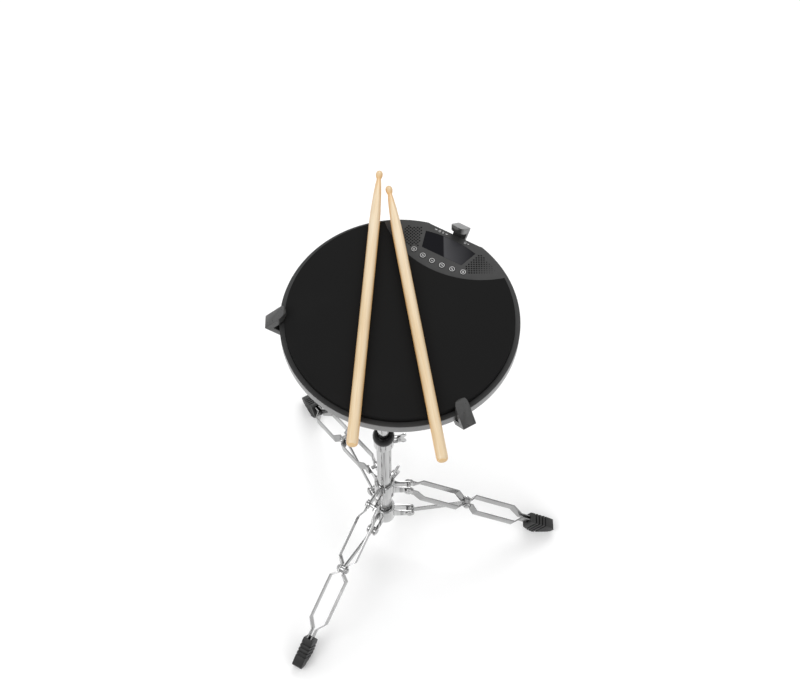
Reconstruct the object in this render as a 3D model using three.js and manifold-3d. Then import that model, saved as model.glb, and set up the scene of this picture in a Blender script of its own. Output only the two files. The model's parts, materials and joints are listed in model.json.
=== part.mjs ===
// A round electronic practice pad held in the three-armed basket of a folding tripod stand,
// with a pair of wooden sticks lying on it. Millimetres, +Z up, floor at z = 0.
import * as THREE from "three";
import { mergeVertices } from "three/addons/utils/BufferGeometryUtils.js";
import Module from "manifold-3d";

const wasm = await Module();
wasm.setup();

// ---------------------------------------------------------------- driving dimensions
const GAP = 0.3; // clearance between neighbouring pieces
const PAD_RADIUS = 152.5; // 12 inch pad
const RUBBER_RADIUS = 146;
const RUBBER_PROUD = 8; // playing rubber above the rim
const RIM_TOP_Z = 677; // height of the pad's rim above the floor
const WALL_HEIGHT = 14.6; // straight side wall of the pad
const PAD_DEPTH = 22; // rim to the pad's underside
const PAD_OFFSET_X = 24; // the tilter carries the basket beside the tube
const PANEL_AZIMUTH = 60.5; // degrees, direction of the control panel
const TUBE_RADIUS = 11.1; // 7/8 inch outer tube
const INNER_TUBE_RADIUS = 9.5; // 3/4 inch inner tube
const UPPER_PIVOT = { r: 38, z: 163 }; // leg hinge at the upper collar
const LOWER_PIVOT = { r: 40, z: 72 }; // brace hinge at the lower collar
const MID_PIVOT = { r: 131, z: 102 }; // brace meets leg
const LEG_AZIMUTHS = [0, 120, 240];
const GRIP_AZIMUTHS = [60, 180, 300];
const STRIP_HEIGHT = 13;
const STRIP_THICKNESS = 2;
const PIN_RADIUS = 2.8;
const PIN_HOLE_RADIUS = 3;
const TILT_AXIS_Z = 584;
const STICK_LENGTH = 406;
const STICK_RADIUS = 7.2;
const DEG = Math.PI / 180;

// ---------------------------------------------------------------- materials
const plastic = (color, roughness) => new THREE.MeshStandardMaterial({ color, roughness, metalness: 0 });
const metal = (color, roughness) => new THREE.MeshStandardMaterial({ color, roughness, metalness: 1 });
const chrome = () => metal(0xd8d8da, 0.12);
const darkCasing = () => plastic(0x3e3e40, 0.55);
const silverShell = () => metal(0xb4b4b6, 0.35);
const playingRubber = () => plastic(0x1d1d1d, 0.85);
const gripRubber = () => plastic(0x565656, 0.8);
const footRubber = () => plastic(0x3c3c3c, 0.8);
const blackPlastic = () => plastic(0x141414, 0.4);
const glossyWindow = () => plastic(0x16161a, 0.08);
const maple = () => plastic(0xe6cfa2, 0.5);
const circuitGreen = () => plastic(0x1f5c38, 0.6);
const batteryGrey = () => plastic(0x6a6f76, 0.6);

// ---------------------------------------------------------------- solids and booleans
// A geometry as a manifold-3d solid, turned outwards if its profile ran the other way.
function solid(geometry) {
  const bare = geometry.index ? geometry.toNonIndexed() : geometry.clone();
  bare.deleteAttribute("normal");
  bare.deleteAttribute("uv");
  const merged = mergeVertices(bare, 1e-4);
  const triVerts = new Uint32Array(merged.index.array);
  const build = () =>
    new wasm.Manifold(
      new wasm.Mesh({ numProp: 3, vertProperties: merged.attributes.position.array, triVerts }),
    );
  const made = build();
  if (made.volume() > 0) return made;
  for (let i = 0; i < triVerts.length; i += 3) triVerts.subarray(i + 1, i + 3).reverse();
  return build();
}

function geometryOf(made) {
  const mesh = made.getMesh();
  const geometry = new THREE.BufferGeometry();
  geometry.setAttribute("position", new THREE.BufferAttribute(mesh.vertProperties, 3));
  geometry.setIndex(new THREE.BufferAttribute(mesh.triVerts, 1));
  return geometry;
}

const join = (...parts) => parts.map(solid).reduce((a, b) => a.add(b));
const cut = (made, ...tools) => tools.map(solid).reduce((a, b) => a.subtract(b), made);

// ---------------------------------------------------------------- shape helpers
// Turns an outline of [radius, height] points about the Z axis.
function turned(points, segments = 28) {
  const profile = points.map(([r, z]) => new THREE.Vector2(r, z));
  return new THREE.LatheGeometry(profile, segments).rotateX(Math.PI / 2);
}

const rod = (radius, z0, z1, segments = 20) =>
  turned([[0, z0], [radius, z0], [radius, z1], [0, z1]], segments);

const ring = (inner, outer, z0, z1, segments = 28) =>
  turned([[inner, z0], [outer, z0], [outer, z1], [inner, z1], [inner, z0]], segments);

const alongX = (geometry) => geometry.rotateY(Math.PI / 2);
const alongY = (geometry) => geometry.rotateX(-Math.PI / 2);

function box(x0, x1, y0, y1, z0, z1) {
  const geometry = new THREE.BoxGeometry(x1 - x0, y1 - y0, z1 - z0);
  return geometry.translate((x0 + x1) / 2, (y0 + y1) / 2, (z0 + z1) / 2);
}

// An XY outline pulled up from z0 to z1.
function slab(shape, z0, z1, curveSegments = 8) {
  const options = { depth: z1 - z0, bevelEnabled: false, curveSegments };
  return new THREE.ExtrudeGeometry(shape, options).translate(0, 0, z0);
}

// An XZ outline pulled to both sides of the plane y = 0.
function sideSlab(shape, width, curveSegments = 6) {
  return slab(shape, -width / 2, width / 2, curveSegments).rotateX(Math.PI / 2);
}

const outline = (points) => new THREE.Shape(points.map(([x, y]) => new THREE.Vector2(x, y)));

// A flat bar in side view, with round ends at its two pivots and a hole in each one named.
function barShape(length, height, holes) {
  const shape = new THREE.Shape();
  shape.absarc(0, 0, height / 2, Math.PI / 2, (3 * Math.PI) / 2, false);
  shape.absarc(length, 0, height / 2, -Math.PI / 2, Math.PI / 2, false);
  for (const x of holes) shape.holes.push(new THREE.Path().absarc(x, 0, PIN_HOLE_RADIUS, 0, 2 * Math.PI));
  return shape;
}

// A ribbon of even thickness along a bent centre line.
function ribbonShape(points, thickness) {
  const line = points.map(([x, y]) => new THREE.Vector2(x, y));
  const offset = (side) =>
    line.map((point, i) => {
      const before = point.clone().sub(line[Math.max(i - 1, 0)]).normalize();
      const after = line[Math.min(i + 1, line.length - 1)].clone().sub(point).normalize();
      const direction = before.add(after).normalize();
      const reference = i === 0 ? line[1].clone().sub(point) : point.clone().sub(line[i - 1]);
      const stretch = 1 / Math.abs(direction.dot(reference.normalize()));
      const normal = new THREE.Vector2(-direction.y, direction.x);
      return point.clone().addScaledVector(normal, (side * thickness * stretch) / 2);
    });
  return new THREE.Shape([...offset(1), ...offset(-1).reverse()]);
}

const assembly = new THREE.Group();

function addPiece(name, geometry, material, parent = assembly) {
  const mesh = new THREE.Mesh(geometry.isBufferGeometry ? geometry : geometryOf(geometry), material);
  mesh.name = name;
  parent.add(mesh);
  return mesh;
}

// ---------------------------------------------------------------- column
const COLUMN = { bottom: 56, top: 336.7, innerBottom: 232, innerTop: 563 };

function column() {
  addPiece("outer_tube", ring(9.9, TUBE_RADIUS, COLUMN.bottom, COLUMN.top), chrome());
  addPiece("inner_tube", ring(8, INNER_TUBE_RADIUS, COLUMN.innerBottom, COLUMN.innerTop), chrome());
  const bushing = turned([
    [9.8, 337], [14.5, 337], [16, 339], [16, 346], [13.5, 351], [9.8, 351], [9.8, 337],
  ]);
  addPiece("height_bushing", bushing, blackPlastic());
}

// A split ring round the outer tube's end, tightened by a wing screw in a boss on its side.
function heightClamp() {
  const group = new THREE.Group();
  group.rotation.z = 10 * DEG;
  const band = join(
    turned([[11.4, 316], [14.3, 316], [15, 317], [15, 335.5], [14.3, 336.5], [11.4, 336.5], [11.4, 316]]),
    alongX(rod(6, 13, 20, 16)).translate(0, 0, 326.5),
  );
  const slit = box(-1, 1, -17, -10, 315, 338);
  const thread = alongX(rod(3.1, 10, 22, 12)).translate(0, 0, 326.5);
  addPiece("height_clamp", cut(band, slit, thread), chrome(), group);
  const screw = wingScrew({ stem: 8.5, head: 24 }).rotateX(Math.PI / 2);
  addPiece("height_wing_screw", screw.translate(20.8, 0, 326.5), chrome(), group);
  assembly.add(group);
}

// A wing screw along X: its stem runs towards -X from the origin and its wings spread on the +X side.
function wingScrew({ stem, head }) {
  const wings = new THREE.Shape();
  wings.moveTo(0, -5);
  wings.lineTo(head * 0.35, -head / 2);
  wings.absarc(head * 0.42, -head / 2 + 3, 3, -Math.PI / 2, Math.PI / 4, false);
  wings.lineTo(7, 0);
  wings.absarc(head * 0.42, head / 2 - 3, 3, -Math.PI / 4, Math.PI / 2, false);
  wings.lineTo(head * 0.35, head / 2);
  wings.lineTo(0, 5);
  const made = join(
    slab(wings, -1.6, 1.6, 4),
    alongX(rod(5.5, -0.4, 5, 16)),
    alongX(rod(PIN_RADIUS, -stem, 1, 12)),
  );
  return geometryOf(made);
}

// ---------------------------------------------------------------- leg collars
const EAR = { inner: 4.2, outer: 6.2, radius: 7.5 };

// Twin ears that reach out to a hinge at the given pivot, one pair for each leg.
function earPair(pivot, azimuth) {
  const rise = EAR.radius;
  const shape = new THREE.Shape();
  shape.moveTo(12.5, pivot.z - rise - 2);
  shape.lineTo(pivot.r, pivot.z - rise);
  shape.absarc(pivot.r, pivot.z, rise, -Math.PI / 2, Math.PI / 2, false);
  shape.lineTo(12.5, pivot.z + rise + 2);
  shape.holes.push(new THREE.Path().absarc(pivot.r, pivot.z, PIN_HOLE_RADIUS, 0, 2 * Math.PI));
  return [-1, 1].map((side) => {
    const plate = sideSlab(shape, EAR.outer - EAR.inner, 5);
    return plate.translate(0, (side * (EAR.inner + EAR.outer)) / 2, 0).rotateZ(azimuth * DEG);
  });
}

function collar(z0, z1, pivot) {
  const sleeve = turned([
    [11.4, z0], [14.8, z0], [15.8, z0 + 1], [15.8, z1 - 1], [14.8, z1], [11.4, z1], [11.4, z0],
  ]);
  return join(sleeve, ...LEG_AZIMUTHS.flatMap((azimuth) => earPair(pivot, azimuth)));
}

const BOLT_AZIMUTH = 48; // direction of the collar's wing bolt

function collars() {
  addPiece("lower_collar", collar(55, 91, LOWER_PIVOT), chrome());
  const boss = alongX(rod(6, 13, 20, 16)).translate(0, 0, 176).rotateZ(BOLT_AZIMUTH * DEG);
  const upper = collar(145, 184, UPPER_PIVOT).add(solid(boss));
  const thread = alongX(rod(3.1, 10, 22, 12)).translate(0, 0, 176).rotateZ(BOLT_AZIMUTH * DEG);
  const slit = box(-1, 1, -17, -10, 172, 186);
  addPiece("upper_collar", cut(upper, thread, slit), chrome());
  const screw = wingScrew({ stem: 8.5, head: 26 });
  screw.rotateX(Math.PI / 2).translate(20.8, 0, 176).rotateZ(BOLT_AZIMUTH * DEG);
  addPiece("collar_wing_bolt", screw, chrome());
}

// ---------------------------------------------------------------- legs
const legRun = { x: MID_PIVOT.r - UPPER_PIVOT.r, z: UPPER_PIVOT.z - MID_PIVOT.z };
const LEG_SLOPE = Math.atan2(legRun.z, legRun.x);
const MID_S = Math.hypot(legRun.x, legRun.z);
const braceRun = { x: MID_PIVOT.r - LOWER_PIVOT.r, z: MID_PIVOT.z - LOWER_PIVOT.z };
const BRACE_LENGTH = Math.hypot(braceRun.x, braceRun.z);
const BRACE_SLOPE = Math.atan2(braceRun.z, braceRun.x);
const LEG_STRIP_END = 256;
const HEX_HALF = 13.7; // half the width of the six-sided openings
const AT_COLLAR = 7.6; // half distances between the strips where they draw together
const AT_MID = 4.3;
const AT_FOOT = 3.2;

// One of a leg's two flat strips: x runs down the leg from its upper pivot.
function legStrip(side) {
  const plan = [
    [-STRIP_HEIGHT, AT_COLLAR], [13, AT_COLLAR], [25, HEX_HALF], [93, HEX_HALF],
    [MID_S - 8, AT_MID], [MID_S + 8, AT_MID], [127, HEX_HALF], [203, HEX_HALF],
    [218, AT_FOOT], [LEG_STRIP_END + 9, AT_FOOT],
  ];
  const bent = slab(ribbonShape(plan, STRIP_THICKNESS), -STRIP_HEIGHT, STRIP_HEIGHT);
  const sideView = sideSlab(barShape(LEG_STRIP_END, STRIP_HEIGHT, [0, MID_S]), 60);
  const geometry = geometryOf(solid(bent).intersect(solid(sideView)));
  return side > 0 ? geometry : geometry.rotateX(Math.PI);
}

// A rivet along Y through a hinge: two washers, two domed heads and the shank between them.
function rivet(halfGrip) {
  const end = [[0, 3.4], [3.4, 2.7], [4.8, 1.3], [7, 1.2], [7, 0], [PIN_RADIUS, 0]];
  const top = end.map(([r, y]) => [r, halfGrip + y]);
  const bottom = top.map(([r, y]) => [r, -y]);
  return alongY(turned([...bottom, ...top.reverse()], 12));
}

// Half of the pivot where leg and brace meet: head or nut outside a strip, with a stub through it.
function midFastener(side, isNut) {
  const inner = AT_MID - STRIP_THICKNESS / 2 + 0.2;
  const seat = AT_MID + STRIP_THICKNESS / 2 + 0.2;
  const washer = [[0, inner], [PIN_RADIUS, inner], [PIN_RADIUS, seat], [7, seat], [7, seat + 1.2]];
  const cap = [[4.6, seat + 1.3], [4.4, seat + 3.6], [0, seat + 5]];
  const made = alongY(turned([...washer, ...cap], isNut ? 6 : 12));
  return side > 0 ? made : made.rotateX(Math.PI);
}

// A ribbed rubber boot on the strips' ends, cut flat where it stands on the floor.
function foot() {
  const upright = outline([
    [235, 7.4], [236.5, 9.2], [264, 8.8], [283, 5.8], [285.5, 3], [285, -5], [279, -14],
    [263.4, -24.8], [249, -21], [235, -14],
  ]);
  const coreShape = outline([[240, -19], [270, -25.5], [276, 5.4], [264, 7.2], [240, 7.4]]);
  const core = solid(sideSlab(coreShape, 13));
  const grooves = [244, 250.5, 257, 263.5].map((x) => {
    const band = solid(box(x, x + 2.4, -15, 15, -40, 12));
    return band.subtract(core);
  });
  const pocket = box(234, LEG_STRIP_END + 7, -AT_FOOT - 1.3, AT_FOOT + 1.3, -6.8, 6.8);
  const boot = grooves.reduce((made, groove) => made.subtract(groove), solid(sideSlab(upright, 17)));
  return cut(boot, pocket);
}

// The floor plane as seen from a leg's own frame, as a big block to cut the foot with.
function floorInLegFrame() {
  const block = box(-60, 400, -40, 40, -200, 0);
  return block.translate(-UPPER_PIVOT.r, 0, -UPPER_PIVOT.z).rotateY(-LEG_SLOPE);
}

function legs() {
  const footShape = geometryOf(cut(foot(), floorInLegFrame()));
  LEG_AZIMUTHS.forEach((azimuth, i) => {
    const n = i + 1;
    const plane = new THREE.Group();
    plane.rotation.z = azimuth * DEG;
    assembly.add(plane);

    const leg = new THREE.Group();
    leg.position.set(UPPER_PIVOT.r, 0, UPPER_PIVOT.z);
    leg.rotation.y = LEG_SLOPE;
    plane.add(leg);
    addPiece(`leg_${n}_strip_left`, legStrip(1), chrome(), leg);
    addPiece(`leg_${n}_strip_right`, legStrip(-1), chrome(), leg);
    addPiece(`foot_${n}`, footShape.clone(), footRubber(), leg);
    addPiece(`leg_rivet_${n}`, rivet(AT_COLLAR + 1.2), chrome(), leg);
    addPiece(`mid_bolt_${n}`, midFastener(1, false).translate(MID_S, 0, 0), chrome(), leg);
    addPiece(`mid_nut_${n}`, midFastener(-1, true).translate(MID_S, 0, 0), chrome(), leg);

    const brace = new THREE.Group();
    brace.position.set(LOWER_PIVOT.r, 0, LOWER_PIVOT.z);
    brace.rotation.y = -BRACE_SLOPE;
    plane.add(brace);
    addPiece(`brace_${n}`, braceBar(), chrome(), brace);
    addPiece(`brace_rivet_${n}`, rivet(EAR.outer + 0.2), chrome(), brace);
  });
}

// A flat bar with a turned boss at each hinge.
function braceBar() {
  const bar = sideSlab(barShape(BRACE_LENGTH, 10, []), 2.6);
  const lowerBoss = alongY(rod(6, -EAR.inner + GAP, EAR.inner - GAP, 16));
  const midHalf = AT_MID - STRIP_THICKNESS / 2 - GAP;
  const midBoss = alongY(rod(6, -midHalf, midHalf, 16)).translate(BRACE_LENGTH, 0, 0);
  const lowerHole = alongY(rod(PIN_HOLE_RADIUS, -6, 6, 12));
  const midHole = lowerHole.clone().translate(BRACE_LENGTH, 0, 0);
  return cut(join(bar, lowerBoss, midBoss), lowerHole, midHole);
}

// ---------------------------------------------------------------- tilter and basket
const TILT = { radius: 15, face: 11.7, farFace: 36 };
const HUB = { bottom: 621, top: 637, radius: 27 };
const ARM = { width: 12, thickness: 4, z: 629, bend: 123.6, rise: 38 };

function tilter() {
  const socket = rod(TILT.face, 547, 574, 28);
  const cheek = alongX(rod(TILT.radius, -11, TILT.face, 28)).translate(0, 0, TILT_AXIS_Z);
  const web = box(-11, 11, -12, 12, 566, TILT_AXIS_Z);
  const tubeHole = rod(INNER_TUBE_RADIUS + 0.3, 540, COLUMN.innerTop + 0.3, 28);
  const boltHole = alongX(rod(4.3, -20, 50)).translate(0, 0, TILT_AXIS_Z);
  addPiece("tilter_base", cut(join(socket, cheek, web), tubeHole, boltHole), chrome());

  const disc = alongX(rod(TILT.radius, TILT.face + GAP, TILT.farFace, 28)).translate(0, 0, TILT_AXIS_Z);
  const neck = rod(8, 588, HUB.bottom + 4).translate(PAD_OFFSET_X, 0, 0);
  addPiece("tilter_head", cut(join(disc, neck), boltHole), chrome());

  const screw = wingScrew({ stem: 49.5, head: 34 });
  const thick = alongX(rod(4, -49.5, 0.5, 16));
  const whole = join(screw, thick).add(solid(alongX(rod(7, -53.5, -49, 6))));
  const placed = geometryOf(whole).rotateZ(Math.PI).translate(-12.5, 0, TILT_AXIS_Z);
  addPiece("tilter_wing_screw", placed, chrome());
}

// A steel arm in side view: level through the hub, then up at 45 degrees into its rubber grip.
function armBar(extra) {
  const line = [[14, ARM.z], [ARM.bend, ARM.z], [ARM.bend + ARM.rise, ARM.z + ARM.rise]];
  return sideSlab(ribbonShape(line, ARM.thickness + 2 * extra), ARM.width + 2 * extra);
}

// A thick rubber V that opens inwards over the pad's rim, with the arm's end inside its lower leg.
function gripGeometry() {
  const apex = { r: 171, z: RIM_TOP_Z - WALL_HEIGHT / 2 };
  const thickness = 8;
  const upper = { angle: 131 * DEG, length: 38 };
  const lower = { angle: 225 * DEG, length: 27 };
  const at = (leg, along, inward) => [
    apex.r + along * Math.cos(leg.angle) - inward * Math.abs(Math.sin(leg.angle)),
    apex.z + along * Math.sin(leg.angle) + inward * (leg === upper ? -1 : 1) * Math.abs(Math.cos(leg.angle)),
  ];
  const innerApex = [apex.r - thickness / Math.sin(47 * DEG), apex.z];
  const profile = outline([
    [apex.r, apex.z - 0.5], [apex.r, apex.z + 0.5],
    at(upper, upper.length, 0), at(upper, upper.length, thickness), innerApex,
    at(lower, lower.length, thickness), at(lower, lower.length, 0),
  ]);
  const made = solid(sideSlab(profile, 18));
  const tip = { x: apex.r + (upper.length - 9) * Math.cos(upper.angle) };
  const plan = new THREE.Shape();
  plan.moveTo(190, -9);
  plan.lineTo(190, 9);
  plan.lineTo(tip.x, 9);
  plan.absellipse(tip.x, 0, 9, 9, Math.PI / 2, (3 * Math.PI) / 2, false);
  const planCut = solid(slab(plan, RIM_TOP_Z - 7, RIM_TOP_Z + 60));
  const below = solid(box(100, 200, -20, 20, RIM_TOP_Z - 80, RIM_TOP_Z - 7));
  const rounded = made.intersect(planCut.add(below));
  return cut(rounded, armBar(GAP));
}

function basket() {
  const group = new THREE.Group();
  group.position.x = PAD_OFFSET_X;
  assembly.add(group);
  const slots = GRIP_AZIMUTHS.map((azimuth) =>
    box(10, 40, -ARM.width / 2 - GAP, ARM.width / 2 + GAP, ARM.z - 2.8, ARM.z + 2.8).rotateZ(azimuth * DEG),
  );
  const disc = turned([
    [0, HUB.bottom], [24, HUB.bottom], [HUB.radius, HUB.bottom + 3], [HUB.radius, HUB.top - 3],
    [24, HUB.top], [0, HUB.top],
  ]);
  const neckHole = rod(8 + GAP, HUB.bottom - 5, HUB.bottom + 4 + GAP);
  addPiece("basket_hub", cut(solid(disc), neckHole, ...slots), chrome(), group);

  const knob = turned([
    [8.4, 602], [20, 602], [21.5, 604], [21.5, 617], [20, 619], [8.4, 619], [8.4, 602],
  ], 24);
  const scallops = Array.from({ length: 12 }, (_, i) =>
    rod(2.6, 600, 622, 6).translate(22.6, 0, 0).rotateZ(i * 30 * DEG),
  );
  addPiece("basket_knob", cut(solid(knob), ...scallops), blackPlastic(), group);

  const bar = geometryOf(solid(armBar(0)).intersect(solid(box(10, 163, -20, 20, 600, 663))));
  const grip = geometryOf(gripGeometry());
  GRIP_AZIMUTHS.forEach((azimuth, i) => {
    const arm = new THREE.Group();
    arm.rotation.z = azimuth * DEG;
    group.add(arm);
    addPiece(`basket_arm_${i + 1}`, bar.clone(), chrome(), arm);
    addPiece(`rubber_grip_${i + 1}`, grip.clone(), gripRubber(), arm);
  });
}

// ---------------------------------------------------------------- pad
const ROUND_SEGMENTS = 60;
const PANEL = { arcRadius: 130, nearEdge: 81.5, flat: 146.8, flatHalf: 37 };

// The panel's outline in pad coordinates with +Y towards the panel.
function lensShape(rimRadius) {
  const centre = PANEL.nearEdge + PANEL.arcRadius;
  const radius = PANEL.arcRadius;
  const y = (centre * centre + rimRadius * rimRadius - radius * radius) / (2 * centre);
  const x = Math.sqrt(rimRadius * rimRadius - y * y);
  const shape = new THREE.Shape();
  shape.absarc(0, 0, rimRadius, Math.atan2(y, x), Math.atan2(y, -x), false);
  shape.absarc(0, centre, radius, Math.atan2(y - centre, -x), Math.atan2(y - centre, x), false);
  return shape;
}

function displayShape(margin) {
  const inner = 109.7 - margin;
  const outer = 134 + margin;
  const shape = new THREE.Shape();
  shape.moveTo(-29 - margin, inner);
  shape.lineTo(29 + margin, inner);
  shape.lineTo(36.5 + margin, outer);
  shape.quadraticCurveTo(0, outer + 9, -36.5 - margin, outer);
  shape.closePath();
  return shape;
}

const KEYS = [-36.2, -21.6, -7.3, 7.3, 21.6, 36.2].map((x) => ({ x, y: 96.8 + (x * x) / 292 }));
const KEY_RADIUS = 4;
const JACK_X = [-26, 17]; // round sockets in the rim's flat, clear of the grip behind it

function topCasing() {
  const tray = turned([
    [0, -5], [150.2, -5], [150.2, -1.5], [PAD_RADIUS, -1.5], [PAD_RADIUS, -0.5], [PAD_RADIUS - 0.5, 0],
    [RUBBER_RADIUS, 0], [RUBBER_RADIUS, -3], [0, -3],
  ], ROUND_SEGMENTS);
  const panel = slab(lensShape(149), -4, 0, 24);
  const keyHoles = KEYS.map(({ x, y }) => rod(KEY_RADIUS + GAP, -8, 2, 16).translate(x, y, 0));
  const windowPocket = slab(displayShape(GAP), -1.6, 1);
  const rimFlat = box(-PANEL.flatHalf, PANEL.flatHalf, PANEL.flat, 170, -10, 2);
  return cut(join(tray, panel), windowPocket, rimFlat, ...keyHoles);
}

function baseShell() {
  const cup = turned([
    [0, -PAD_DEPTH], [140, -PAD_DEPTH], [PAD_RADIUS, -WALL_HEIGHT], [PAD_RADIUS, -1.8],
    [150.5, -1.8], [150.5, -14], [139, -19.5], [0, -19.5],
  ], ROUND_SEGMENTS);
  const backing = box(-PANEL.flatHalf - 2, PANEL.flatHalf + 2, 143.3, 149, -15, -5.3);
  const rimFlat = box(-PANEL.flatHalf, PANEL.flatHalf, PANEL.flat, 170, -PAD_DEPTH - 1, 2);
  const slot = box(-20, -10.5, 140, 160, -12, -7.5);
  const jacks = JACK_X.map((x) => alongY(rod(3.4, 138, 160, 16)).translate(x, 0, -10));
  return cut(join(cup, backing), rimFlat, slot, ...jacks);
}

function playingPad() {
  const shape = new THREE.Shape();
  const centre = PANEL.nearEdge + PANEL.arcRadius;
  const rim = RUBBER_RADIUS - GAP;
  const cutRadius = PANEL.arcRadius + GAP;
  const y = (centre * centre + rim * rim - cutRadius * cutRadius) / (2 * centre);
  const x = Math.sqrt(rim * rim - y * y);
  shape.absarc(0, 0, rim, Math.atan2(y, -x), Math.atan2(y, x) + 2 * Math.PI, false);
  shape.absarc(0, centre, cutRadius, Math.atan2(y - centre, x), Math.atan2(y - centre, -x), true);
  return slab(shape, -2.7, RUBBER_PROUD, 36);
}

function speaker(x) {
  const cone = turned([
    [0, -17.5], [9, -17.5], [9, -13], [15, -8], [15, -6.5], [13, -6.5], [4, -9.5], [0, -9.5],
  ], 16);
  return cone.translate(x, 117, 0);
}

function pad() {
  const group = new THREE.Group();
  group.position.set(PAD_OFFSET_X, 0, RIM_TOP_Z);
  group.rotation.z = (PANEL_AZIMUTH - 90) * DEG;
  assembly.add(group);
  addPiece("top_casing", topCasing(), darkCasing(), group);
  addPiece("base_shell", baseShell(), silverShell(), group);
  addPiece("playing_rubber", playingPad(), playingRubber(), group);
  addPiece("display_window", slab(displayShape(0), -1.3, 0), glossyWindow(), group);
  KEYS.forEach(({ x, y }, i) => {
    const key = turned([[0, -5.8], [KEY_RADIUS, -5.8], [KEY_RADIUS, 0.3], [3.6, 0.7], [0, 0.7]], 16);
    addPiece(`panel_key_${i + 1}`, key.translate(x, y, 0), darkCasing(), group);
  });
  addPiece("circuit_board", box(-33, 33, 88, 112, -9.2, -7.6), circuitGreen(), group);
  addPiece("speaker_left", speaker(-50), blackPlastic(), group);
  addPiece("speaker_right", speaker(50), blackPlastic(), group);
  addPiece("battery_pack", box(-30, 30, -20, 20, -18.5, -6.5), batteryGrey(), group);
  const block = solid(box(-31, 24, 130, 143, -16, -5.6));
  const blockHoles = JACK_X.map((x) => alongY(rod(2.4, 142, 150, 12)).translate(x, 0, -10));
  addPiece("socket_block", cut(block, ...blockHoles), blackPlastic(), group);
}

// ---------------------------------------------------------------- sticks
// A stick along +Y from its butt, turned from one piece of wood.
function stickGeometry() {
  const shoulder = STICK_LENGTH - 85;
  const points = [
    [0, 0], [4.2, 0.5], [6.3, 2], [STICK_RADIUS, 5], [STICK_RADIUS, shoulder], [6.7, shoulder + 22],
    [5.5, shoulder + 45], [4.1, shoulder + 62], [3.1, shoulder + 70], [2.9, shoulder + 72.5],
    [3.6, shoulder + 74], [4.5, shoulder + 77], [4.7, shoulder + 79.5], [4.2, shoulder + 82.5],
    [2.6, shoulder + 84.6], [0, shoulder + 85],
  ];
  const profile = points.map(([r, y]) => new THREE.Vector2(r, y));
  return new THREE.LatheGeometry(profile, 16);
}

function sticks() {
  const z = RIM_TOP_Z + RUBBER_PROUD + STICK_RADIUS + GAP;
  const places = [
    { name: "stick_left", x: -57.4, y: -185.5, turn: -4.3 },
    { name: "stick_right", x: 51, y: -205.9, turn: 9.4 },
  ];
  for (const { name, x, y, turn } of places) {
    const mesh = addPiece(name, stickGeometry(), maple());
    mesh.position.set(PAD_OFFSET_X + x, y, z);
    mesh.rotation.z = turn * DEG;
  }
}

column();
heightClamp();
collars();
legs();
tilter();
basket();
pad();
sticks();

// The frame's origin is the middle of the footprint, on the floor.
const extent = new THREE.Box3().setFromObject(assembly, true);
const middle = extent.getCenter(new THREE.Vector3());
assembly.position.set(-middle.x, -middle.y, -extent.min.z);

export default assembly;
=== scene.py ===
import itertools
import json
import math

import bmesh
import bpy
from mathutils import Matrix, Vector


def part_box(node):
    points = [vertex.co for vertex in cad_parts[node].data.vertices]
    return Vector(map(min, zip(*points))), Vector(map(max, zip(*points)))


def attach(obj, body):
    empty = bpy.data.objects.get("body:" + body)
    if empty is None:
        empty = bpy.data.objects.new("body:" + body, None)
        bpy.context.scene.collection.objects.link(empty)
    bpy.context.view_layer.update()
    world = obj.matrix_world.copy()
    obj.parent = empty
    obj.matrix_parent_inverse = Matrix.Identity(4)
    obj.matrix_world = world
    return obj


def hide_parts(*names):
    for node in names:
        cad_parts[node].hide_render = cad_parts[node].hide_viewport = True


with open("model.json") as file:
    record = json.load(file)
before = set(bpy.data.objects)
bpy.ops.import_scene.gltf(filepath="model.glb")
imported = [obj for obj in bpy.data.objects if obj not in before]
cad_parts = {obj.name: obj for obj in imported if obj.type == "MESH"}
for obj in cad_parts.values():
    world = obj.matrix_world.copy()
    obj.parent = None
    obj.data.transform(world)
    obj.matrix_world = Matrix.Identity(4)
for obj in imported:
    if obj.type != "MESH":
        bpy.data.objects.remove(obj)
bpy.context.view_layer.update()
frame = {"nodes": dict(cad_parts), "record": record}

MM = 0.001
joints = {joint["name"]: joint for joint in frame["record"]["behaviour"]["joints"]}

# ---------------------------------------------------------------- where things are
BOWL_DEPTH = 22  # from the pad's rim down to its flat underside
PAD_CENTRE = Vector(joints["knob_turn"]["pos_m"])
RIM_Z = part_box("base_shell")[0].z + BOWL_DEPTH * MM
PANEL_AZIMUTH = 60.5  # degrees, from the middle of the pad to the control panel
# The pad's own frame: x along the panel, y out towards it, z = 0 at the rim.
PAD_FRAME = Matrix.Translation((PAD_CENTRE.x, PAD_CENTRE.y, RIM_Z)) @ Matrix.Rotation(
    math.radians(PANEL_AZIMUTH - 90), 4, "Z"
)
PAD_RADIUS = 152.5
RIM_INNER = 146  # the playing rubber's radius
LENS_RADIUS = 130  # the circle that parts the rubber from the panel, and the y of its centre
LENS_CENTRE = 211.5
FLAT_Y = 146.8  # the straight cut in the rim that holds the sockets, and half its length
FLAT_HALF = 37
RIM_STEPS = 240
DISPLAY_INNER = 109.7  # the display's edges towards the rubber and towards the rim
DISPLAY_OUTER = 134
GRILLE_PITCH = 3.3
KEYS = [(x, 96.8 + x * x / 292) for x in (-36.2, -21.6, -7.3, 7.3, 21.6, 36.2)]
JACK_X = (-26, 17)
JACK_DEPTH = 10  # below the rim
STICK_LENGTH = 406
STICK_RADIUS = 7.2
TAPER_LENGTH = 85  # from the shoulder to the end of the bead


# ---------------------------------------------------------------- node materials
def set_stops(node, stops):
    """Places a colour ramp's stops, each a position with a colour or a single grey."""
    band = node.color_ramp
    while len(band.elements) < len(stops):
        band.elements.new(0.5)
    for element, (position, color) in zip(band.elements, stops):
        element.position = position
        element.color = (*color, 1) if isinstance(color, tuple) else (color, color, color, 1)


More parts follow.
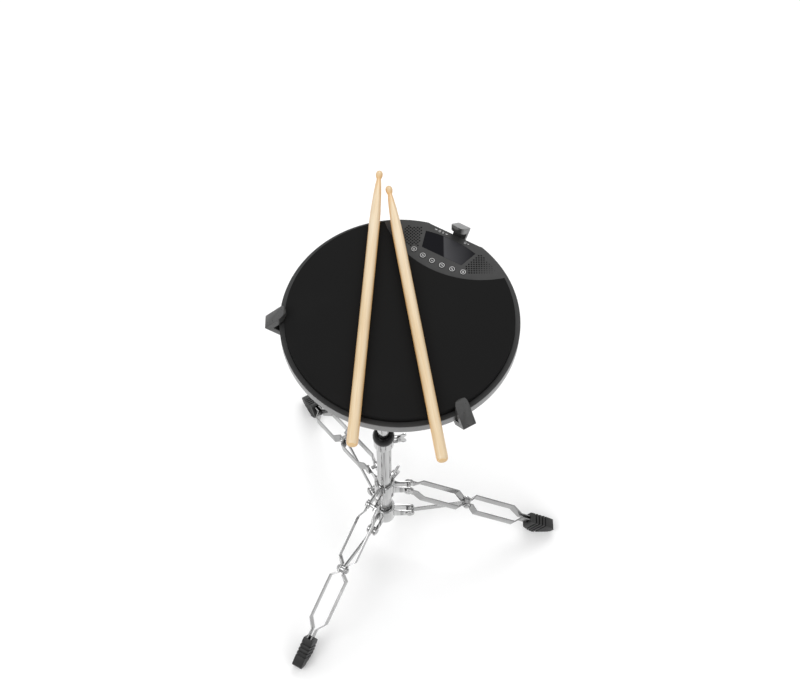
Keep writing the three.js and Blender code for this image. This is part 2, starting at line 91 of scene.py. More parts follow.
class Shader:
    """A node material around one Principled shader, with short calls for the nodes that shape it."""

    def __init__(self, name, roughness, metallic=0.0, **constants):
        self.material = bpy.data.materials.new(name)
        self.material.use_nodes = True
        self.tree = self.material.node_tree
        self.shader = self.tree.nodes["Principled BSDF"]
        self.set("Roughness", roughness)
        self.set("Metallic", metallic)
        for socket, value in constants.items():
            self.set(socket.replace("_", " "), value)
        self.place = self.tree.nodes.new("ShaderNodeTexCoord").outputs["Object"]

    def set(self, socket, value):
        """Sets a socket of the Principled shader to a constant, or links a node's output to it."""
        target = self.shader.inputs[socket]
        if isinstance(value, bpy.types.NodeSocket):
            self.tree.links.new(value, target)
        else:
            target.default_value = value

    def add(self, kind, **values):
        """A new node with its inputs set to constants or linked to other nodes' outputs."""
        node = self.tree.nodes.new(kind)
        for name, value in values.items():
            if isinstance(value, bpy.types.NodeSocket):
                self.tree.links.new(value, node.inputs[name])
            else:
                node.inputs[name].default_value = value
        return node

    def blend(self, kind, factor, first, second):
        """Mixes two colours; either may be a fixed colour or another node's output."""
        node = self.tree.nodes.new("ShaderNodeMix")
        node.data_type = "RGBA"
        node.blend_type = kind
        # The colour sockets of this node share their names with its number sockets.
        for index, value in ((0, factor), (6, first), (7, second)):
            if isinstance(value, bpy.types.NodeSocket):
                self.tree.links.new(value, node.inputs[index])
            else:
                node.inputs[index].default_value = value
        return node.outputs[2]

    def stretched(self, scale):
        """The object's own coordinates scaled on each axis; a small number draws a texture out."""
        return self.add("ShaderNodeMapping", Vector=self.place, Scale=scale).outputs["Vector"]

    def noise(self, scale, detail=3.0, vector=None):
        """A cloudy factor about one half, in the object's coordinates or stretched ones."""
        made = self.add(
            "ShaderNodeTexNoise", Vector=vector or self.place, Scale=scale, Detail=detail
        )
        return made.outputs["Fac"]

    def ramp(self, factor, *stops):
        """A colour for each value of a factor."""
        node = self.add("ShaderNodeValToRGB", Fac=factor)
        set_stops(node, stops)
        return node.outputs["Color"]

    def between(self, factor, low, high, start=0.0, end=1.0):
        """Maps start..end of a factor onto low..high."""
        node = self.add("ShaderNodeMapRange", Value=factor)
        for socket, value in (("From Min", start), ("From Max", end), ("To Min", low), ("To Max", high)):
            node.inputs[socket].default_value = value
        return node.outputs["Result"]

    def axis(self, name):
        """The object's own x, y or z at the shaded point."""
        return self.add("ShaderNodeSeparateXYZ", Vector=self.place).outputs[name]

    def bump(self, height, strength, distance):
        """Relief from a height factor, with its depth in metres."""
        node = self.add("ShaderNodeBump", Height=height, Strength=strength, Distance=distance)
        self.set("Normal", node.outputs["Normal"])


def chrome():
    """Bright plating over drawn steel, with painted reflections as dark and light streaks along the height,
    and fine hairlines.
    """
    made = Shader("chrome", 0.1, metallic=1.0)
    # Painted reflection: the dark and light streaks in the base colour stand in for the room mirrored in
    # the chrome.
    painted_reflection_streak = made.noise(120, detail=2, vector=made.stretched((1, 1, 0.03)))
    made.set("Base Color", made.ramp(painted_reflection_streak, (0.33, 0.06), (0.39, 0.45), (0.58, 0.54), (0.69, 0.24)))
    hairline = made.noise(900, detail=2, vector=made.stretched((1, 1, 0.08)))
    made.set("Roughness", made.between(hairline, 0.05, 0.14))
    made.bump(hairline, 0.04, 0.0001)
    return made.material


def polished_steel():
    """Rivets, bolts and screws: small turned parts, polished evenly and marked by tools."""
    made = Shader("polished_steel", 0.1, metallic=1.0)
    made.set("Base Color", made.ramp(made.noise(140, detail=3), (0.35, 0.42), (0.65, 0.52)))
    marks = made.noise(1100, detail=2)
    made.set("Roughness", made.between(marks, 0.07, 0.18))
    made.bump(marks, 0.05, 0.0001)
    return made.material


def plated_strip():
    """The flat strips and arms: even, slightly satin plating with faint cloudy patches."""
    made = Shader("plated_strip", 0.2, metallic=1.0)
    made.set("Base Color", made.ramp(made.noise(25, detail=4), (0.35, 0.34), (0.65, 0.40)))
    grain = made.noise(700, detail=2)
    made.set("Roughness", made.between(grain, 0.16, 0.26))
    made.bump(grain, 0.04, 0.0001)
    return made.material


def grained_plastic(name, dark, light, roughness, grain=2600, depth=0.25, gloss=0.5):
    """Moulded plastic: faintly clouded, with a fine grain in its skin."""
    made = Shader(name, roughness, Specular_IOR_Level=gloss)
    cloud = made.noise(45, detail=5)
    made.set("Base Color", made.ramp(cloud, (0.35, dark), (0.68, light)))
    made.set("Roughness", made.between(made.noise(180), roughness - 0.06, roughness + 0.08))
    made.bump(made.noise(grain, detail=2), depth, 0.0002)
    return made.material


def silver_paint():
    """Grey metallic paint under a thin clear coat."""
    made = Shader("silver_paint", 0.3, metallic=0.75, Coat_Weight=0.25, Coat_Roughness=0.2)
    flakes = made.noise(3800, detail=1)
    made.set("Base Color", made.ramp(flakes, (0.35, 0.15), (0.65, 0.23)))
    made.set("Roughness", made.between(made.noise(70, detail=4), 0.26, 0.38))
    made.bump(flakes, 0.06, 0.0001)
    return made.material


def playing_surface():
    """Matt black rubber: fine moulded grain on top, and faint scuffs where sticks strike it."""
    made = Shader("playing_surface", 0.75, Specular_IOR_Level=0.16)
    scuff = made.noise(14, detail=6)
    made.set("Base Color", made.ramp(scuff, (0.35, 0.003), (0.6, 0.004), (0.78, 0.0055)))
    made.set("Roughness", made.between(scuff, 0.7, 0.85))
    made.bump(made.noise(1700, detail=3), 0.3, 0.0003)
    return made.material


def moulded_rubber(name, dark, light, roughness):
    """Grained rubber with painted shade: blacker down in its grooves and corners."""
    made = Shader(name, roughness, Specular_IOR_Level=0.45)
    open_surface = made.ramp(made.noise(80, detail=5), (0.35, dark), (0.7, light))
    # Painted shade: the base colour darkens where the surface is hemmed in, in grooves and corners.
    painted_crease_shade = made.add("ShaderNodeAmbientOcclusion", Distance=0.004)
    painted_crease_shade.samples = 4
    shade = made.ramp(painted_crease_shade.outputs["AO"], (0.35, 0.08), (0.85, 1.0))
    made.set("Base Color", made.blend("MULTIPLY", 1.0, open_surface, shade))
    made.set("Roughness", made.between(made.noise(260), roughness - 0.08, roughness + 0.08))
    made.bump(made.noise(1500, detail=2), 0.18, 0.0003)
    return made.material


def maple():
    """Pale lacquered maple: a deeper honey colour painted down the flanks as shade, long streaks, and short
    pores along the stick.
    """
    made = Shader("maple", 0.36, Coat_Weight=0.35, Coat_Roughness=0.2)
    along = made.stretched((60, 2.2, 60))
    broad = made.noise(2.4, detail=4, vector=along)
    fine = made.noise(9, detail=5, vector=along)
    pores = made.noise(34, detail=2, vector=made.stretched((60, 1.1, 60)))
    pale = made.ramp(
        broad, (0.25, (0.64, 0.48, 0.28)), (0.5, (0.70, 0.56, 0.37)), (0.75, (0.74, 0.63, 0.47))
    )
    # The stick's own axis is at height 0, so the deeper honey colour comes in down its sides: painted
    # shade, which leaves the top paler as if lit from above.
    painted_flank_shade = made.between(made.axis("Z"), 0.0, 1.0, start=0.005, end=0.0005)
    # This mix holds the wood's colour with the painted flank shade laid over it.
    grain = made.blend("MIX", painted_flank_shade, pale, (0.68, 0.36, 0.09, 1))
    streaks = made.ramp(fine, (0.3, (0.90, 0.80, 0.66)), (0.62, (1.0, 1.0, 1.0)))
    made.set("Base Color", made.blend("MULTIPLY", 0.55, grain, streaks))
    made.set("Roughness", made.between(pores, 0.3, 0.44))
    made.bump(pores, 0.12, 0.0002)
    return made.material


def end_grain():
    """The cut butt of a stick, where growth rings show and the lacquer has soaked in."""
    made = Shader("end_grain", 0.6)
    rings = made.add("ShaderNodeTexWave", Vector=made.place, Scale=260, Distortion=2.5)
    rings.wave_type = "RINGS"
    rings.rings_direction = "Y"
    growth = rings.outputs["Fac"]
    made.set("Base Color", made.ramp(growth, (0.2, (0.62, 0.40, 0.18)), (0.8, (0.80, 0.58, 0.32))))
    made.bump(growth, 0.1, 0.0002)
    return made.material


def display_with_painted_glare():
    """A black window with a painted reflection: its right half is painted paler as glare, fading outwards.
    """
    made = Shader("display_with_painted_glare", 0.12, Specular_IOR_Level=0.12)
    low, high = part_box("display_window")
    across = made.between(made.axis("X"), 0.0, 1.0, start=low.x, end=high.x)
    black = (0.004, 0.004, 0.006)
    # Painted reflection: the paler colour over the right half stands in for glare from the room.
    painted_glare = (0.06, 0.06, 0.065)
    painted_glare_end = (0.009, 0.009, 0.011)
    made.set("Base Color", made.ramp(across, (0.0, black), (0.40, black), (0.42, painted_glare), (0.95, painted_glare_end)))
    made.set("Roughness", made.between(made.noise(220), 0.08, 0.16))
    return made.material


def printed_marks():
    """The pale ink of the signs on the keys and above the sockets."""
    made = Shader("printed_marks", 0.5)
    made.set("Base Color", made.ramp(made.noise(900), (0.3, 0.56), (0.7, 0.70)))
    return made.material


def grille_shade_cloth():
    """Matt black woven cloth behind the speaker holes, near-black so that it also stands as painted shade
    down the holes.
    """
    made = Shader("grille_shade_cloth", 0.9, Specular_IOR_Level=0.05)
    weave = made.noise(2400, detail=1)
    made.set("Base Color", made.ramp(weave, (0.3, 0.0015), (0.7, 0.003)))
    made.bump(weave, 0.2, 0.0002)
    return made.material


def circuit_mask():
    """The green lacquer of the circuit board, with a pattern of tracks."""
    made = Shader("circuit_mask", 0.35)
    bricks = made.add("ShaderNodeTexBrick", Vector=made.place, Scale=180.0)
    bricks.inputs["Color1"].default_value = (0.01, 0.09, 0.035, 1)
    bricks.inputs["Color2"].default_value = (0.012, 0.11, 0.045, 1)
    bricks.inputs["Mortar"].default_value = (0.02, 0.17, 0.07, 1)
    made.set("Base Color", bricks.outputs["Color"])
    return made.material


MATERIALS = {
    "chrome": chrome(),
    "casing": grained_plastic("dark_casing", 0.015, 0.022, 0.5),
    "shell": silver_paint(),
    "playing_rubber": playing_surface(),
    "grip_rubber": moulded_rubber("grip_rubber", 0.036, 0.052, 0.3),
    "foot_rubber": moulded_rubber("foot_rubber", 0.009, 0.014, 0.5),
    "black_plastic": grained_plastic(
        "black_plastic", 0.004, 0.007, 0.2, grain=1800, depth=0.08, gloss=0.22
    ),
    "window": display_with_painted_glare(),
    "maple": maple(),
    "circuit": circuit_mask(),
    "battery": grained_plastic("battery_wrap", 0.10, 0.14, 0.4),
}
# Finishes that pieces have in place of their slot's own.
STRIP = plated_strip()
POLISHED = polished_steel()
MARKS = printed_marks()
GRILLE_SHADE = grille_shade_cloth()
END_GRAIN = end_grain()


# ---------------------------------------------------------------- mesh helpers
def piece(name, mesh, body, slot, replaced=(), material=None):
    """Puts a mesh into the scene as a named piece that rides on a body and may stand for CAD nodes."""
    made = bpy.data.objects.new(name, mesh)
    bpy.context.scene.collection.objects.link(made)
    mesh.materials.clear()
    mesh.materials.append(material or MATERIALS[slot])
    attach(made, body)
    if replaced:
        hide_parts(*replaced)
    return made


def smooth(mesh, angle=32):
    """Shades a mesh smooth, except along edges that turn by more than an angle in degrees."""
    for polygon in mesh.polygons:
        polygon.use_smooth = True
    mesh.set_sharp_from_angle(angle=math.radians(angle))
    return mesh


def bevelled(mesh, width, segments=2, angle=32):
    """The mesh with its sharp edges rounded to a width in millimetres."""
    holder = bpy.data.objects.new("bevel_holder", mesh)
    bpy.context.scene.collection.objects.link(holder)
    rounding = holder.modifiers.new("round", "BEVEL")
    rounding.width = width * MM
    rounding.segments = segments
    rounding.limit_method = "ANGLE"
    rounding.angle_limit = math.radians(angle)
    made = evaluated(holder)
    return smooth(made, angle)


def evaluated(holder):
    """The holder's mesh with its modifiers applied; the holder goes."""
    graph = bpy.context.evaluated_depsgraph_get()
    made = bpy.data.meshes.new_from_object(holder.evaluated_get(graph))
    bpy.data.objects.remove(holder)
    return made


def clean_copy(node, angle=0.6):
    """A copy of a CAD node's mesh with flat areas merged into single faces."""
    mesh = frame["nodes"][node].data.copy()
    shape = bmesh.new()
    shape.from_mesh(mesh)
    bmesh.ops.remove_doubles(shape, verts=shape.verts, dist=1e-6)
    bmesh.ops.dissolve_limit(
        shape, angle_limit=math.radians(angle), verts=shape.verts, edges=shape.edges
    )
    bmesh.ops.recalc_face_normals(shape, faces=shape.faces)
    shape.to_mesh(mesh)
    shape.free()
    return mesh


def mesh_of(points, faces):
    """A mesh from points in millimetres, with doubled points merged and faces turned outwards."""
    mesh = bpy.data.meshes.new("shape")
    mesh.from_pydata([tuple(value * MM for value in point) for point in points], [], faces)
    shape = bmesh.new()
    shape.from_mesh(mesh)
    bmesh.ops.remove_doubles(shape, verts=shape.verts, dist=1e-7)
    bmesh.ops.recalc_face_normals(shape, faces=shape.faces)
    shape.to_mesh(mesh)
    shape.free()
    return mesh


def turned(profile, segments=64, angle=32):
    """A profile of (radius, height) in millimetres, from axis to axis, turned about Z."""
    points = []
    for radius, height in profile:
        for i in range(segments):
            turn = 2 * math.pi * i / segments
            points.append((radius * math.cos(turn), radius * math.sin(turn), height))
    faces = []
    for row in range(len(profile) - 1):
        for i in range(segments):
            j = (i + 1) % segments
            a, b = row * segments, (row + 1) * segments
            faces.append((a + i, a + j, b + j, b + i))
    return smooth(mesh_of(points, faces), angle)


def plate(outlines, low, high, bevel):
    """A flat plate between two heights from closed outlines: the first is its edge, the rest are holes."""
    curve = bpy.data.curves.new("plate", "CURVE")
    curve.dimensions = "2D"
    curve.fill_mode = "BOTH"
    for outline in outlines:
        spline = curve.splines.new("POLY")
        spline.points.add(len(outline) - 1)
        for point, (x, y) in zip(spline.points, outline):
            point.co = (x * MM, y * MM, 0, 1)
        spline.use_cyclic_u = True
    curve.extrude = ((high - low) / 2 - bevel) * MM
    curve.bevel_depth = bevel * MM
    curve.bevel_resolution = 1
    curve.offset = -bevel * MM
    holder = bpy.data.objects.new("plate_holder", curve)
    bpy.context.scene.collection.objects.link(holder)
    bpy.context.view_layer.update()
    mesh = evaluated(holder)
    mesh.transform(Matrix.Translation((0, 0, (low + high) / 2 * MM)))
    return smooth(mesh)


def arc(centre, radius, start, end, steps):
    """Points along an arc, with angles in radians."""
    turns = [start + (end - start) * i / steps for i in range(steps + 1)]
    return [(centre[0] + radius * math.cos(t), centre[1] + radius * math.sin(t)) for t in turns]


def disc(centre, radius, steps=24):
    """Points around a whole circle."""
    return arc(centre, radius, 0, 2 * math.pi, steps)[:-1]


def joined(meshes):
    """Several meshes as one."""
    shape = bmesh.new()
    for mesh in meshes:
        shape.from_mesh(mesh)
    made = bpy.data.meshes.new("joined")
    shape.to_mesh(made)
    shape.free()
    return made


def moved(mesh, *offset):
    """The mesh shifted by x, y and z in millimetres."""
    mesh.transform(Matrix.Translation(tuple(value * MM for value in offset)))
    return mesh


def pad_piece(name, mesh, slot, body="basket", replaced=(), material=None):
    """A piece made in the pad's own frame."""
    mesh.transform(PAD_FRAME)
    return piece(name, mesh, body, slot, replaced, material)


# ---------------------------------------------------------------- stand
def body_of(node):
    """The body that a CAD node belongs to."""
    bodies = frame["record"]["behaviour"]["bodies"]
    return next(name for name, members in bodies.items() if node in members)


def refined(node, slot, bevel, angle=32, material=None):
    """A CAD node's own shape with rounded edges and smooth curved walls."""
    mesh = bevelled(clean_copy(node), bevel, angle=angle)
    return piece(f"{node}_detail", mesh, body_of(node), slot, [node], material)


def stand():
    """The column from the leg collars up to the basket's hub."""
    for node in ("outer_tube", "inner_tube", "height_clamp", "lower_collar", "upper_collar"):
        refined(node, "chrome", bevel=0.35)
    for node in ("height_wing_screw", "collar_wing_bolt", "tilter_wing_screw"):
        refined(node, "chrome", bevel=0.5, angle=40, material=POLISHED)
    for node in ("tilter_base", "tilter_head", "basket_hub"):
        refined(node, "chrome", bevel=0.5)
    refined("height_bushing", "black_plastic", bevel=0.4)
    refined("basket_knob", "black_plastic", bevel=0.6, angle=40)


def legs():
    """Three legs, each with its two strips, brace, fasteners and rubber foot."""
    for n in (1, 2, 3):
        for node in (f"leg_{n}_strip_left", f"leg_{n}_strip_right", f"brace_{n}"):
            refined(node, "chrome", bevel=0.35, angle=25, material=STRIP)
        for node in (f"leg_rivet_{n}", f"brace_rivet_{n}", f"mid_bolt_{n}", f"mid_nut_{n}"):
            refined(node, "chrome", bevel=0.3, angle=40, material=POLISHED)
        refined(f"foot_{n}", "foot_rubber", bevel=0.25)


def basket():
    """The three steel arms and the rubber grips that hold the pad's rim."""
    for n in (1, 2, 3):
        refined(f"basket_arm_{n}", "chrome", bevel=0.5, material=STRIP)
        refined(f"rubber_grip_{n}", "grip_rubber", bevel=1.2, angle=28)


# ---------------------------------------------------------------- pad
def rim_outline(radius, flat=FLAT_Y):
    """A circle whose panel side is cut straight where the sockets are."""
    points = []
    for x, y in disc((0, 0), radius, RIM_STEPS):
        in_flat = abs(x) <= FLAT_HALF and y > 0
        points.append((x, min(y, flat) if in_flat else y))
    return points


def rubber_outline(margin):
    """The playing rubber's edge: the rim's circle, less the lens-shaped panel."""
    rim = RIM_INNER - margin
    lens = LENS_RADIUS + margin
    y = (LENS_CENTRE**2 + rim**2 - lens**2) / (2 * LENS_CENTRE)
    x = math.sqrt(rim**2 - y**2)
    around = arc((0, 0), rim, math.atan2(y, -x), math.atan2(y, x) + 2 * math.pi, 200)
    below_centre = y - LENS_CENTRE
    lens_start, lens_end = math.atan2(below_centre, x), math.atan2(below_centre, -x)
    inwards = arc((0, LENS_CENTRE), lens, lens_start, lens_end, 60)
    return around + inwards[1:-1]


def display_outline(margin):
    """The display's edge: straight towards the rubber, wider and arched towards the rim."""
    inner, outer = DISPLAY_INNER - margin, DISPLAY_OUTER + margin
    inner_half, outer_half = 29 + margin, 36.5 + margin
    arch = 4.5
    crown = []
    for i in range(21):
        across = 1 - i / 10
        crown.append((outer_half * across, outer + arch * (1 - across**2)))
    return [(-inner_half, inner), (inner_half, inner), *crown]


def grille_holes():
    """Two fields of small round holes: the left one in slanting rows, the right one fading outwards."""
    lens_edge, rim_edge, flat_edge = 118, 143, 137
    key_margin = 6.6
    smallest, growth = 0.35, 0.75
    fade_end, fade_width = 72, 24
    rows = math.ceil(PAD_RADIUS / GRILLE_PITCH) + 1
    holes = []
    for side, row_turn, outer_edge in ((-1, 135, 62), (1, 90, 71)):
        turn = math.radians(row_turn - PANEL_AZIMUTH)
        for i, j in itertools.product(range(-rows, rows + 1), repeat=2):
            across, up = i * GRILLE_PITCH, j * GRILLE_PITCH
            x = across * math.cos(turn) - up * math.sin(turn)
            y = across * math.sin(turn) + up * math.cos(turn)
            # The display widens towards the rim, and the fields' inner edges lean with it.
            display_edge = 34 + (y - DISPLAY_INNER) * 0.31
            beside = display_edge < side * x < outer_edge
            in_lens = math.hypot(x, y - LENS_CENTRE) < lens_edge
            in_rim = math.hypot(x, y) < rim_edge and y < flat_edge
            clear_of_keys = all(math.hypot(x - kx, y - ky) > key_margin for kx, ky in KEYS)
            if beside and in_lens and in_rim and clear_of_keys:
                fade = min(1, max(0, (fade_end - x) / fade_width))
                holes.append(disc((x, y), smallest + growth * fade, 10))
    return holes


def key_holes(radius):
    """One round opening around each key."""
    return [disc((x, y), radius, 28) for x, y in KEYS]


def top_casing():
    """The casing's top plate, and the black cloth that shows through its grilles, which also stands as
    painted shade down the holes.
    """
    openings = [rubber_outline(0), display_outline(0.15), *key_holes(4.2), *grille_holes()]
    mesh = plate([rim_outline(PAD_RADIUS), *openings], low=-1.5, high=0, bevel=0.15)
    pad_piece("casing_top", mesh, "casing", replaced=["top_casing"])
    # Painted shade: a near-black sheet just under the grille holes darkens them as their depth would.
    shade_cloth = plate([rim_outline(149.5), *key_holes(4.3)], low=-1.4, high=-0.35, bevel=0.05)
    pad_piece("grille_shade_sheet", shade_cloth, "black_plastic", material=GRILLE_SHADE)


def base_shell():
    """The silver bowl under the rim, a thin shell whose wall is cut flat where the sockets are."""
    inner_radius, inner_floor, inner_flat = 150.4, 1.6 - BOWL_DEPTH, 144.6
    outside = [
        (151.9, -1.7), (152.4, -2.0), (PAD_RADIUS, -2.6), (PAD_RADIUS, -14), (152, -14.9), (150.6, -15.9),
        (142, -21.2), (140.4, -21.85), (138.5, -BOWL_DEPTH), (60, -BOWL_DEPTH), (8, -BOWL_DEPTH),
    ]
    inside = [(8, inner_floor), (138, inner_floor), (inner_radius, -14.2), (inner_radius, -1.7)]
    rows = [[(x, y, z) for x, y in rim_outline(radius)] for radius, z in outside]
    rows += [[(x, y, z) for x, y in rim_outline(radius, flat=inner_flat)] for radius, z in inside]
    # The last row outside and the first one inside are closed in the middle, not joined to each other.
    middle = len(outside) - 1
    faces = []
    for row in range(len(rows)):
        if row == middle:
            continue
        a, b = row * RIM_STEPS, (row + 1) % len(rows) * RIM_STEPS
        for i in range(RIM_STEPS):
            j = (i + 1) % RIM_STEPS
            faces.append((a + i, a + j, b + j, b + i))
    for row in (middle, middle + 1):
        faces.append(tuple(range(row * RIM_STEPS, (row + 1) * RIM_STEPS)))
    points = [point for row in rows for point in row]
    pad_piece("shell_bowl", smooth(mesh_of(points, faces), 24), "shell", replaced=["base_shell"])


def upright(mesh):
    """Stands a plate against the rim's flat: its y becomes the height, and its thickness goes inwards."""
    turn = Matrix.Rotation(math.pi / 2, 4, "X")
    mesh.transform(Matrix.Translation((0, FLAT_Y * MM, 0)) @ turn)
    return mesh


def sockets():
    """A strip with two round jacks and a slot, sunk in the flat's wall: only its backing plate shows."""
    rounded = arc((31, -6), 2, math.pi / 2, 0, 6) + arc((31, -12), 2, 0, -math.pi / 2, 6)
    edge = rounded + [(-x, y) for x, y in reversed(rounded)]
    slot = [(-20, -8), (-10.5, -8), (-10.5, -11.5), (-11.4, -12), (-19.1, -12), (-20, -11.5)]
    jacks = [disc((x, -JACK_DEPTH), 3.3, 28) for x in JACK_X]
    strip = plate([edge, slot, *jacks], low=0.1, high=1.0, bevel=0.15)
    pad_piece("socket_strip", upright(strip), "casing")
    back = plate([edge], low=-0.1, high=0.12, bevel=0.02)
    pad_piece("socket_back", upright(back), "black_plastic")
    for n, x in enumerate(JACK_X, 1):
        lip = [(1.75, 0.3), (1.75, 1.3), (2.1, 1.5), (3.0, 1.5), (3.2, 1.3), (3.2, 0.3), (1.75, 0.3)]
        mesh = moved(turned(lip, 32), x, -JACK_DEPTH, 0)
        pad_piece(f"jack_lip_{n}", upright(mesh), "black_plastic")


def underside():
    """Under the bowl: a battery door with three finger ridges, and the six case screws."""
    corner, door_middle = 5, -62
    screw_circle = 118
    edge = []
    for x, y, start in ((38, 24, 0), (-38, 24, 90), (-38, -24, 180), (38, -24, 270)):
        centre = (x - math.copysign(corner, x), y - math.copysign(corner, y) + door_middle)
        edge += arc(centre, corner, math.radians(start), math.radians(start + 90), 6)
    door = plate([edge], low=-BOWL_DEPTH - 0.7, high=-BOWL_DEPTH + 0.1, bevel=0.25)
    pad_piece("battery_door", door, "casing")
    ridges = []
    for y in (-78, -75, -72):
        edge = bar(0, y, half_width=14, half_height=0.6)
        ridges.append(plate([edge], low=-BOWL_DEPTH - 1.3, high=-BOWL_DEPTH - 0.6, bevel=0.2))
    pad_piece("door_ridges", joined(ridges), "casing")
    head = [(0, -0.3), (0.5, -0.3), (0.7, -0.9), (2.6, -0.8), (3.2, -0.3), (3.3, 0.1), (0, 0.1)]
    screws = []
    for x, y in disc((0, 0), screw_circle, 12)[1::2]:
        screws.append(moved(turned(head, 20), x, y, -BOWL_DEPTH))
    pad_piece("case_screws", smooth(joined(screws)), "chrome")


def playing_pad():
    """The rubber slab that is struck, standing above the rim with a rounded edge."""
    mesh = plate([rubber_outline(0.35)], low=-2.7, high=8, bevel=0.9)
    pad_piece("rubber_top", mesh, "playing_rubber", replaced=["playing_rubber"])


def display():
    """The display's window, just under the casing's face."""
    mesh = plate([display_outline(-0.1)], low=-1.5, high=-0.05, bevel=0.15)
    pad_piece("display", mesh, "window", replaced=["display_window"])


def bar(x, y, half_width, half_height):
    """The outline of a rectangle about (x, y)."""
    left, right = x - half_width, x + half_width
    low, high = y - half_height, y + half_height
    return [(left, low), (right, low), (right, high), (left, high)]


def ring(x, y, radius, width):
    """The two outlines of a flat ring."""
    return [disc((x, y), radius, 36), disc((x, y), radius - width, 36)]


def mark_shapes():
    """One small generic sign for each key, as outlines about its middle."""
    triangle = [(-0.9, -1.2), (1.4, 0), (-0.9, 1.2)]
    chevron = [(-1.4, -0.7), (0, 0.5), (1.4, -0.7), (1.4, 0.1), (0, 1.3), (-1.4, 0.1)]
    slanted = [(-1.5, 1.0), (-0.9, 1.5), (1.5, -1.0), (0.9, -1.5)]
    return [
        [triangle],
        [bar(-0.7, 0, 0.3, 1.2), bar(0.7, 0, 0.3, 1.2)],
        [bar(0, 0, 1.3, 0.3)],
        [chevron],
        [slanted],
        [disc((0, 0), 1.0, 16)],
    ]


def keys():
    """Six round caps with a raised edge ring and a sign each, on their own sprung bodies."""
    cap = [(0, 0.45), (2.6, 0.5), (3.6, 0.7), (3.95, 0.45), (4.0, 0.1), (4.0, -5.8), (0, -5.8)]
    for n, ((x, y), signs) in enumerate(zip(KEYS, mark_shapes()), 1):
        mesh = moved(turned(cap, 40), x, y, 0)
        node = f"panel_key_{n}"
        pad_piece(f"key_cap_{n}", mesh, "casing", body_of(node), replaced=[node])
        edge = plate(ring(0, 0, 3.5, 0.55), low=0.55, high=0.75, bevel=0.02)
        flats = [plate([sign], low=0.42, high=0.56, bevel=0.02) for sign in signs]
        marks = moved(joined([edge, *flats]), x, y, 0)
        pad_piece(f"key_marks_{n}", marks, "casing", body_of(node), material=MARKS)


def socket_signs():
    """Small signs above the sockets: plain rings and bars."""
    y = 142.6
    bars = ((-26, 1.6), (-10.5, 1.4), (21.5, 1.0))
    rings = ((-20.5, 1.5), (-15.5, 1.1), (17, 1.5))
    groups = [[bar(x, y, half_width, half_height=0.45)] for x, half_width in bars]
    groups += [ring(x, y, radius, width=0.4) for x, radius in rings]
    mesh = joined([plate(group, low=-0.02, high=0.06, bevel=0.01) for group in groups])
    pad_piece("socket_signs", mesh, "casing", material=MARKS)


def pad():
    """The pad on its basket, with the parts inside its casing."""
    top_casing()
    base_shell()
    sockets()
    underside()
    playing_pad()
    display()
    keys()
    socket_signs()
    for node, slot in (
        ("circuit_board", "circuit"), ("speaker_left", "black_plastic"), ("speaker_right", "black_plastic"),
        ("battery_pack", "battery"), ("socket_block", "black_plastic"),
    ):
        refined(node, slot, bevel=0.3)


# ---------------------------------------------------------------- sticks
def stick_profile():
    """Radius and height from the rounded butt, over the shoulder and the neck, to the end of the bead."""
    shoulder = STICK_LENGTH - TAPER_LENGTH
    return [
        (0, 0.4), (4.2, 0.4), (5.8, 1.3), (6.8, 3), (STICK_RADIUS, 6), (STICK_RADIUS, shoulder),
        (7.05, shoulder + 8), (6.7, shoulder + 20), (5.9, shoulder + 36), (4.9, shoulder + 52),
        (3.9, shoulder + 64),
        (3.15, shoulder + 69.5), (2.95, shoulder + 72), (3.2, shoulder + 73.4), (4.1, shoulder + 75.6),
        (4.65, shoulder + 78.6), (4.55, shoulder + 81), (3.8, shoulder + 83.2), (2.4, shoulder + 84.6),
        (0, STICK_LENGTH),
    ]


def sticks():
    """Two sticks on the rubber, each from a butt at (x, y) off the pad's middle, nearly along Y."""
    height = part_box("stick_left")[0].z + STICK_RADIUS * MM
    butt_face = 1.2 * MM
    to_y = Matrix.Rotation(-math.pi / 2, 4, "X")
    for node, x, y, turn in (("stick_left", -57.4, -185.5, -4.3), ("stick_right", 51, -205.9, 9.4)):
        mesh = turned(stick_profile(), 48, angle=60)
        mesh.transform(to_y)
        place = Matrix.Translation((PAD_CENTRE.x + x * MM, PAD_CENTRE.y + y * MM, height))
        place = place @ Matrix.Rotation(math.radians(turn), 4, "Z")
        made = piece(f"{node}_wood", mesh, body_of(node), "maple", replaced=[node])
        made.matrix_world = place
        made.data.materials.append(END_GRAIN)
        for polygon in made.data.polygons:
            if polygon.center.y < butt_face:
                polygon.material_index = 1


# ---------------------------------------------------------------- floor, light and camera
def floor():
    """A pale sheet that reaches 30 m, out to a horizon in low views."""
    reach = 30000
    below_feet = 0.5 * MM
    corners = [(-reach, -reach, 0), (reach, -reach, 0), (reach, reach, 0), (-reach, reach, 0)]
    mesh = mesh_of(corners, [(0, 1, 2, 3)])
    made = bpy.data.objects.new("floor", mesh)
    bpy.context.scene.collection.objects.link(made)
    paper = Shader("floor_paper", 0.9)
    paper.set("Base Color", paper.ramp(paper.noise(3), (0.3, 0.94), (0.7, 0.955)))
    mesh.materials.append(paper.material)
    made.location.z = -below_feet


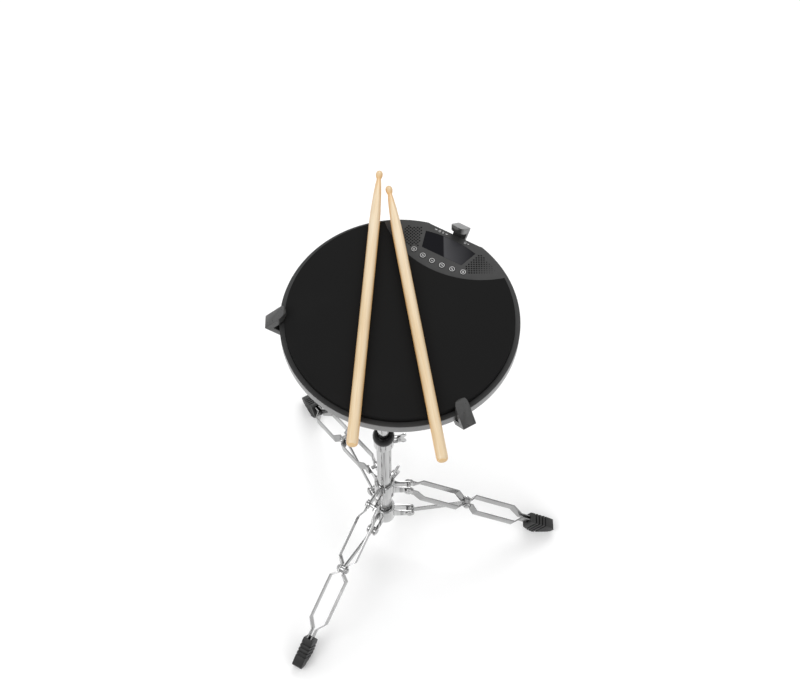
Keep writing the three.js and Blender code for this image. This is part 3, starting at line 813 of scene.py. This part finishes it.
def softbox(name, place, aim, size, power):
    """A rectangular area light that faces a point."""
    light = bpy.data.lights.new(name, "AREA")
    light.shape = "RECTANGLE"
    light.size, light.size_y = size
    light.energy = power
    made = bpy.data.objects.new(name, light)
    made.location = place
    made.rotation_euler = (Vector(aim) - Vector(place)).to_track_quat("-Z", "Y").to_euler()
    bpy.context.scene.collection.objects.link(made)


def studio():
    """A pale room: bright overhead, darker at the horizon so that chrome has something to mirror."""
    world = bpy.data.worlds.new("studio")
    bpy.context.scene.world = world
    world.use_nodes = True
    tree = world.node_tree
    background = tree.nodes["Background"]
    place = tree.nodes.new("ShaderNodeTexCoord")
    split = tree.nodes.new("ShaderNodeSeparateXYZ")
    ramp = tree.nodes.new("ShaderNodeValToRGB")
    tree.links.new(place.outputs["Generated"], split.inputs["Vector"])
    tree.links.new(split.outputs["Z"], ramp.inputs["Fac"])
    tree.links.new(ramp.outputs["Color"], background.inputs["Color"])
    set_stops(ramp, [(0.0, 0.52), (0.10, 0.56), (0.35, 0.80), (1.0, 1.0)])
    background.inputs["Strength"].default_value = 0.86
    middle = (0, 0, 0.4)
    softbox("key_light", (-1.6, -1.0, 2.6), middle, size=(1.6, 1.6), power=29)
    softbox("fill_light", (1.9, -1.4, 1.8), middle, size=(1.4, 1.8), power=9)
    softbox("rear_light", (0.5, 2.2, 2.2), middle, size=(2.0, 1.0), power=24)
    bpy.context.scene.view_settings.view_transform = "Standard"
    bpy.context.scene.view_settings.look = "None"


def camera():
    """Looks steeply down on the pad from in front of it."""
    focal_length, sensor_width = 66.357, 36
    degrees_down = 60.461
    aside, back, height = 0.0001, 0.9539, 2.2811
    lens = bpy.data.cameras.new("camera")
    lens.sensor_width = sensor_width
    lens.lens = focal_length
    made = bpy.data.objects.new("camera", lens)
    made.location = (PAD_CENTRE.x + aside, PAD_CENTRE.y - back, height)
    made.rotation_euler = (math.radians(90 - degrees_down), 0, 0)
    bpy.context.scene.collection.objects.link(made)
    bpy.context.scene.camera = made


stand()
legs()
basket()
pad()
sticks()
floor()
studio()
camera()
